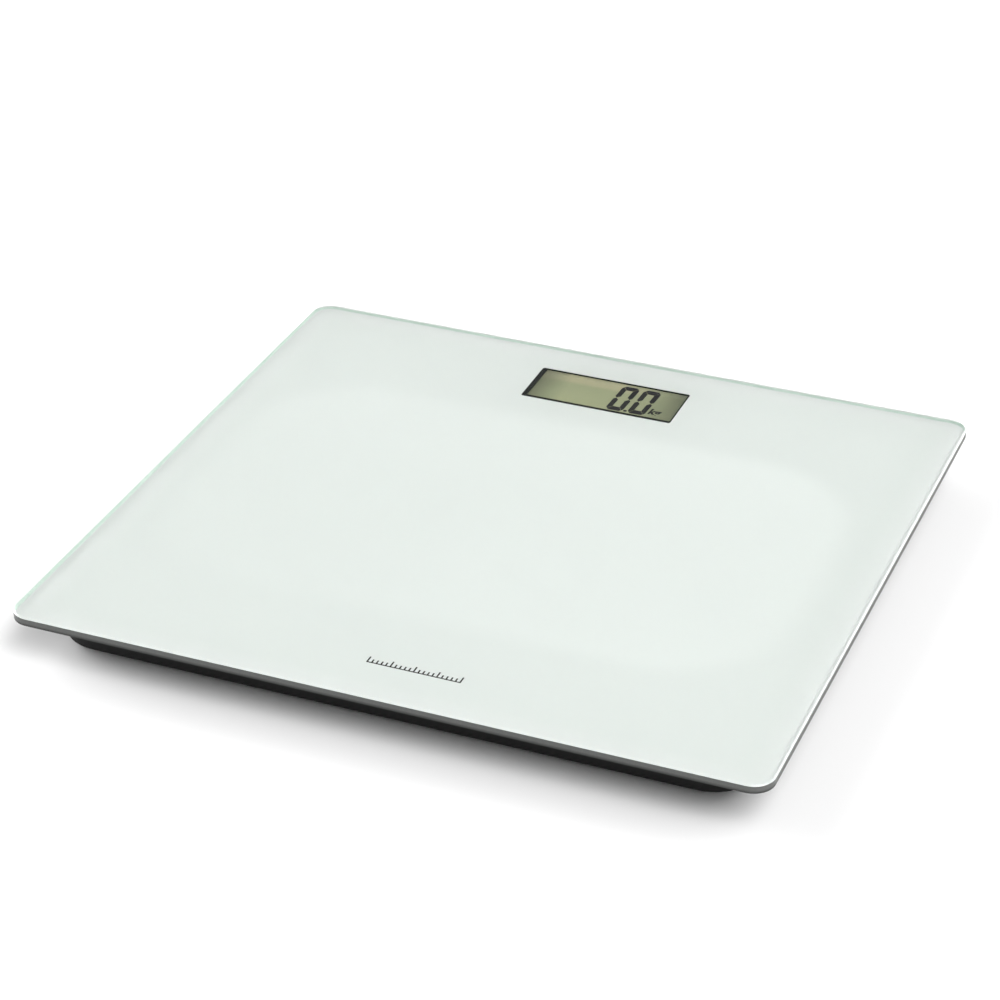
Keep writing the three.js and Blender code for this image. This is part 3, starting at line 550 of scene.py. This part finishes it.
# Cuts at the ends of a segment, as parts of the stroke's width.
CUT_NEAR = 0.25
CUT_FAR = 0.6
TIP_OUTER = 0.3
TIP_MIDDLE = 0.45
UNIT_PLACE = (20.1 * MM, 101.5 * MM)
UNIT_SIZE = 6.5 * MM
UNIT_NARROWING = 0.86
UNIT_BOLDNESS = 0.26 * MM
UNIT_LEAN = 0.15
MERGE_WITHIN = 0.001 * MM


def zero_segments(w, h, s, c, g):
    """The six lit segments of a 0 of size w by h. Upright strokes are s wide, cross strokes c tall."""
    top = [
        (s + g, h - c),
        (w - s - g, h - c),
        (w - CUT_NEAR * s - g, h - CUT_NEAR * c),
        (w - CUT_FAR * s - g, h),
        (CUT_FAR * s + g, h),
        (CUT_NEAR * s + g, h - CUT_NEAR * c),
    ]
    upper_left = [
        (0, h / 2 + g + TIP_OUTER * c),
        (TIP_MIDDLE * s, h / 2 + g),
        (s, h / 2 + g + TIP_MIDDLE * c),
        (s, h - c - g),
        (CUT_NEAR * s, h - CUT_NEAR * c - g),
        (0, h - CUT_FAR * c - g),
    ]

    def flip_x(outline):
        return [(w - x, y) for x, y in reversed(outline)]

    def flip_y(outline):
        return [(x, h - y) for x, y in reversed(outline)]

    sides = [upper_left, flip_x(upper_left), flip_y(upper_left), flip_x(flip_y(upper_left))]
    return [top, flip_y(top), *sides]


def make_digits(material):
    """The reading 0.0 on the face of the display."""
    low, high = LCD_HIGH.z, LCD_HIGH.z + INK_THICKNESS
    bm = bmesh.new()
    zero = zero_segments(DIGIT_WIDTH, DIGIT_HEIGHT, DIGIT_STROKE, DIGIT_CROSS_STROKE, DIGIT_GAP)
    for left in DIGIT_LEFTS:
        for outline in zero:
            add_prism(bm, [(left + x + DIGIT_LEAN * y, DIGIT_FRONT + y) for x, y in outline], low, high)
    turn = [2 * math.pi * i / POINT_STEPS for i in range(POINT_STEPS)]
    round_point = [
        (POINT_CENTRE[0] + POINT_RADIUS * math.cos(a), POINT_CENTRE[1] + POINT_RADIUS * math.sin(a))
        for a in turn
    ]
    add_prism(bm, round_point, low, high)
    new_object("lcd_digits", bm, "scale_body", [material])


def make_unit_text(material):
    """The small kg beside the digits, from Blender's own font, made into a mesh."""
    text = bpy.data.curves.new("unit_text", "FONT")
    text.body = "kg"
    text.size = UNIT_SIZE
    text.shear = UNIT_LEAN
    text.extrude = INK_THICKNESS / 2
    text.offset = UNIT_BOLDNESS
    holder = bpy.data.objects.new("unit_text", text)
    mesh = bpy.data.meshes.new_from_object(holder)
    bpy.data.objects.remove(holder)
    bm = bmesh.new()
    bm.from_mesh(mesh)
    bmesh.ops.remove_doubles(bm, verts=bm.verts, dist=MERGE_WITHIN)
    for vertex in bm.verts:
        vertex.co.x = UNIT_PLACE[0] + vertex.co.x * UNIT_NARROWING
        vertex.co.y = UNIT_PLACE[1] + vertex.co.y
        vertex.co.z = LCD_HIGH.z + INK_THICKNESS / 2 + vertex.co.z
    new_object("lcd_unit", bm, "scale_body", [material])


# ------------------------------------------------------------------ feet

TURN_STEPS = 96
PAD_GROOVES = (4.5 * MM, 8.5 * MM, 12.5 * MM, 16.2 * MM)
GROOVE_HALF = 0.6 * MM
GROOVE_DEPTH = 0.5 * MM
GROOVE_SLOPE = 0.2 * MM
SOLE_EDGE = 0.6 * MM
SOLE_CREASE = 30
ARC_STEPS = 5


def arc(centre, radius, start, end):
    """(radius, height) points along an arc, with angles in degrees."""
    angles = [math.radians(start + (end - start) * i / ARC_STEPS) for i in range(ARC_STEPS + 1)]
    return [(centre[0] + radius * math.cos(a), centre[1] + radius * math.sin(a)) for a in angles]


def add_turned(bm, profile, centre):
    """A body turned about an upright axis from [radius, height] pairs that start and end on it."""
    rows = []
    for radius, height in profile:
        if radius == 0:
            rows.append([bm.verts.new((centre.x, centre.y, height))])
            continue
        ring = []
        for i in range(TURN_STEPS):
            angle = 2 * math.pi * i / TURN_STEPS
            x = centre.x + radius * math.cos(angle)
            y = centre.y + radius * math.sin(angle)
            ring.append(bm.verts.new((x, y, height)))
        rows.append(ring)
    for lower, upper in zip(rows, rows[1:]):
        for i in range(TURN_STEPS):
            j = (i + 1) % TURN_STEPS
            if len(lower) == 1:
                bm.faces.new((lower[0], upper[j], upper[i]))
            elif len(upper) == 1:
                bm.faces.new((lower[i], lower[j], upper[0]))
            else:
                bm.faces.new((lower[i], lower[j], upper[j], upper[i]))


def make_sole(corner, material):
    """The rubber sole: a disc with ring grooves in its tread and a round lower edge."""
    low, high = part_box(f"foot_pad_{corner}")
    centre = (low + high) / 2
    radius = (high.x - low.x) / 2
    profile = [(0, low.z)]
    for ring in PAD_GROOVES:
        profile += [
            (ring - GROOVE_HALF, low.z),
            (ring - GROOVE_HALF + GROOVE_SLOPE, low.z + GROOVE_DEPTH),
            (ring + GROOVE_HALF - GROOVE_SLOPE, low.z + GROOVE_DEPTH),
            (ring + GROOVE_HALF, low.z),
        ]
    profile += arc((radius - SOLE_EDGE, low.z + SOLE_EDGE), SOLE_EDGE, -90, 0)
    profile += [(radius, high.z), (0, high.z)]
    bm = bmesh.new()
    add_turned(bm, profile, centre)
    piece = new_object(f"rubber_sole_{corner}", bm, f"foot_{corner}", [material])
    smooth_by_angle(piece, SOLE_CREASE)
    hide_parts(f"foot_pad_{corner}")


# ------------------------------------------------------------------ stage

FLOOR_REACH = 6
FLOOR_WHITE = (0.88, 0.88, 0.88)


def make_floor():
    bm = bmesh.new()
    bmesh.ops.create_grid(bm, x_segments=1, y_segments=1, size=FLOOR_REACH)
    floor = bpy.data.objects.new("floor", mesh_from(bm, "floor"))
    bpy.context.scene.collection.objects.link(floor)
    recipe = Recipe("studio_floor", FLOOR_WHITE, 0.9)
    recipe.set(Specular_IOR_Level=0.0)
    floor.data.materials.append(recipe.material)


# ------------------------------------------------------------------ light

DOME_STRENGTH = 0.2
SCREEN_STRENGTH = 0.07
SOFTBOX_STRENGTH = 0.42
# Soft lamps round the object, as (azimuth from +X, elevation, strength), in degrees.
LAMPS = ((165, 14, 8.8), (330, 50, 4.1), (60, 18, 5.2))
LAMP_CORE = 8
LAMP_EDGE = 36
# The softbox and the dark screen round it, as places on a level ceiling one unit up.
SOFTBOX_CENTRE = (-0.625, 1.56)
SOFTBOX_HALF = (0.215, 0.135)
SOFTBOX_CORNER = 0.08
SCREEN_CENTRE = (-0.62, 1.58)
SCREEN_HALF = (0.55, 0.48)
SCREEN_CORNER = 0.2
SOFTBOX_BLUR = 0.012
SCREEN_BLUR = 0.12
HORIZON = 0.05


class Sky(NodeTree):
    """The studio's light by direction: a weak dome, soft lamps, a dark screen and a softbox in it."""

    def __init__(self):
        self.world = bpy.data.worlds.new("studio")
        self.world.use_nodes = True
        self.nodes = self.world.node_tree.nodes
        self.links = self.world.node_tree.links
        self.direction = self.nodes.new("ShaderNodeTexCoord").outputs["Generated"]
        split = self.nodes.new("ShaderNodeSeparateXYZ")
        self.links.new(self.direction, split.inputs[0])
        self.height = split.outputs["Z"]
        self.across = self.math("DIVIDE", split.outputs["X"], self.height)
        self.away = self.math("DIVIDE", split.outputs["Y"], self.height)

    def smooth(self, value, start, end, low, high):
        node = self.nodes.new("ShaderNodeMapRange")
        node.interpolation_type = "SMOOTHSTEP"
        self.links.new(value, node.inputs["Value"])
        node.inputs["From Min"].default_value = start
        node.inputs["From Max"].default_value = end
        node.inputs["To Min"].default_value = low
        node.inputs["To Max"].default_value = high
        return node.outputs["Result"]

    def lamp(self, azimuth, elevation, strength):
        """A round soft lamp: full inside LAMP_CORE degrees of its middle, gone at LAMP_EDGE."""
        turn, rise = math.radians(azimuth), math.radians(elevation)
        middle = (math.cos(rise) * math.cos(turn), math.cos(rise) * math.sin(turn), math.sin(rise))
        dot = self.nodes.new("ShaderNodeVectorMath")
        dot.operation = "DOT_PRODUCT"
        self.links.new(self.direction, dot.inputs[0])
        dot.inputs[1].default_value = middle
        edge, core = math.cos(math.radians(LAMP_EDGE)), math.cos(math.radians(LAMP_CORE))
        return self.smooth(dot.outputs["Value"], edge, core, 0, strength)

    def card(self, centre, half, corner, blur):
        """1 inside a rectangle with round corners on the ceiling, and 0 outside."""
        beyond = []
        for place, middle, reach in zip((self.across, self.away), centre, half):
            distance = self.math("ABSOLUTE", self.math("SUBTRACT", place, middle))
            over = self.math("MAXIMUM", self.math("SUBTRACT", distance, reach - corner), 0.0)
            beyond.append(self.math("POWER", over, 2.0))
        distance = self.math("SQRT", self.math("ADD", *beyond))
        inside = self.smooth(distance, corner - blur, corner + blur, 1, 0)
        return self.math("MULTIPLY", inside, self.math("GREATER_THAN", self.height, HORIZON))


def make_world():
    sky = Sky()
    screen = sky.card(SCREEN_CENTRE, SCREEN_HALF, SCREEN_CORNER, SCREEN_BLUR)
    softbox = sky.card(SOFTBOX_CENTRE, SOFTBOX_HALF, SOFTBOX_CORNER, SOFTBOX_BLUR)
    brighter_right = sky.smooth(sky.across, start=-0.8, end=-0.45, low=0.4, high=1.0)
    brighter_far = sky.smooth(sky.away, start=1.5, end=1.7, low=0.0, high=0.3)
    softbox_glow = sky.math("MULTIPLY", softbox, sky.math("ADD", brighter_right, brighter_far))
    lit = DOME_STRENGTH
    for lamp in LAMPS:
        lit = sky.math("ADD", sky.lamp(*lamp), lit)
    around = sky.math("MULTIPLY", lit, sky.math("SUBTRACT", 1.0, screen))
    shaded = sky.math("MULTIPLY", screen, SCREEN_STRENGTH)
    glow = sky.math("MULTIPLY", softbox_glow, SOFTBOX_STRENGTH)
    total = sky.math("ADD", sky.math("ADD", around, shaded), glow)
    background = sky.nodes["Background"]
    background.inputs["Color"].default_value = (1, 1, 1, 1)
    sky.links.new(total, background.inputs["Strength"])
    bpy.context.scene.world = sky.world
    bpy.context.scene.view_settings.view_transform = "Standard"


# ------------------------------------------------------------------ the scene

make_camera()
make_world()
make_floor()

digit_dark = ink("digit_dark", (0.018, 0.016, 0.021), (0.023, 0.021, 0.026))
mark_ink = ink("mark_ink", (0.022, 0.018, 0.018), (0.030, 0.026, 0.026))
black_abs = moulded_plastic("black_abs", (0.009, 0.009, 0.009))
grey_abs = moulded_plastic("grey_abs", (0.022, 0.022, 0.023), 0.55)
satin_steel = metal("satin_steel", (0.60, 0.61, 0.62), 0.3)
sole_rubber = rubber_sole()

make_glass(clear_glass(), ground_glass_edge(), lower_arris())
make_mark(mark_ink)
make_digits(digit_dark)
make_unit_text(digit_dark)
for corner in CORNERS:
    make_sole(corner, sole_rubber)

SLOT_MATERIALS = {
    "white_print": white_print(),
    "foam_tape": soft_foam(),
    "black_plastic": black_abs,
    "label_foil": label_paper(),
    "cell_steel": satin_steel,
    "white_silicone": wire_cover("white_silicone", (0.78, 0.76, 0.72)),
    "foot_plastic": grey_abs,
    "foot_rubber": sole_rubber,
    "red_wire": wire_cover("red_wire", (0.45, 0.03, 0.02)),
    "white_wire": wire_cover("white_wire", (0.68, 0.68, 0.66)),
    "black_wire": wire_cover("black_wire", (0.015, 0.015, 0.015)),
    "circuit_board": board_mask(),
    "chip_resin": moulded_plastic("chip_resin", (0.008, 0.008, 0.009), 0.3, 800),
    "screw_steel": metal("screw_steel", (0.62, 0.62, 0.60), 0.28),
    "lcd_face": lcd_face(),
    "zebra_rubber": moulded_plastic("zebra_rubber", (0.25, 0.27, 0.3), 0.7, 900),
    "bezel_plastic": moulded_plastic("bezel_black", (0.006, 0.007, 0.005), 0.55),
    "spring_steel": metal("spring_steel", (0.70, 0.68, 0.62), 0.25),
    "coin_steel": metal("coin_steel", (0.66, 0.66, 0.66), 0.22, (1, 1, 1)),
}

slot_of = {row["node"]: row["material_slot"] for row in frame["record"]["subparts"]}
for node, piece in NODES.items():
    if slot_of[node] in SLOT_MATERIALS:
        piece.data.materials.clear()
        piece.data.materials.append(SLOT_MATERIALS[slot_of[node]])
